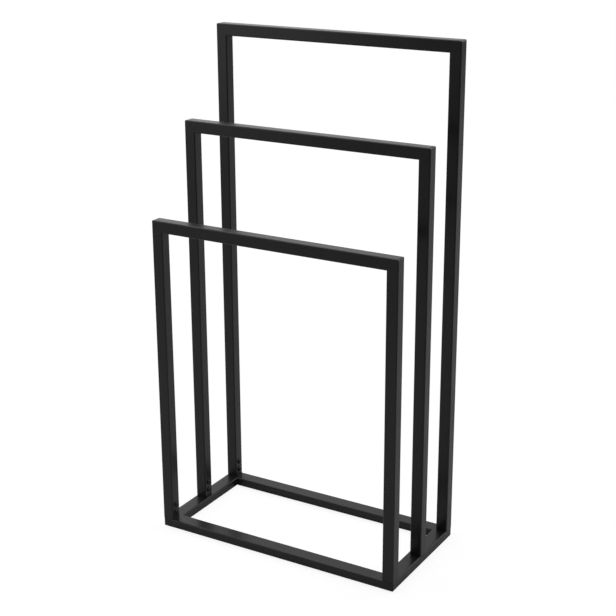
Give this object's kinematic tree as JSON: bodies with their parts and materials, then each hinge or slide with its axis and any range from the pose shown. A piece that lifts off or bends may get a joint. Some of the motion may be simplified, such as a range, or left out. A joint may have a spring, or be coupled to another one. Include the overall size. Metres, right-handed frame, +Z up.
{
  "type": "freestanding towel stand",
  "caption": "Freestanding towel stand: tubular hoops of rising height, each carrying a towel bar, screwed upright on a rectangular base frame.",
  "frame": {"origin": "on the floor under the middle of the base frame, at the undersides of the floor pads", "axes": "+Z up, +X along the towel bars towards the right-hand posts, -Y towards the front, where the lowest hoop stands"},
  "size_m": [0.45, 0.22, 0.85],
  "materials": {
    "powder_coat": "fine-textured satin black powder coat on steel",
    "black_screw": "black-oxide steel, slightly glossier than the tube",
    "pad_rubber": "matt black rubber"
  },
  "bodies": {
    "root": {"base_front_rail": "powder_coat", "base_back_rail": "powder_coat", "base_left_rail": "powder_coat", "base_right_rail": "powder_coat", "front_towel_bar": "powder_coat", "front_left_post": "powder_coat", "front_left_spigot": "powder_coat", "front_left_screws": "black_screw", "front_right_post": "powder_coat", "front_right_spigot": "powder_coat", "front_right_screws": "black_screw", "middle_towel_bar": "powder_coat", "middle_left_post": "powder_coat", "middle_left_spigot": "powder_coat", "middle_left_screws": "black_screw", "middle_right_post": "powder_coat", "middle_right_spigot": "powder_coat", "middle_right_screws": "black_screw", "back_towel_bar": "powder_coat", "back_left_post": "powder_coat", "back_left_spigot": "powder_coat", "back_left_screws": "black_screw", "back_right_post": "powder_coat", "back_right_spigot": "powder_coat", "back_right_screws": "black_screw", "front_left_pad": "pad_rubber", "front_right_pad": "pad_rubber", "back_left_pad": "pad_rubber", "back_right_pad": "pad_rubber"}
  },
  "joints": []
}
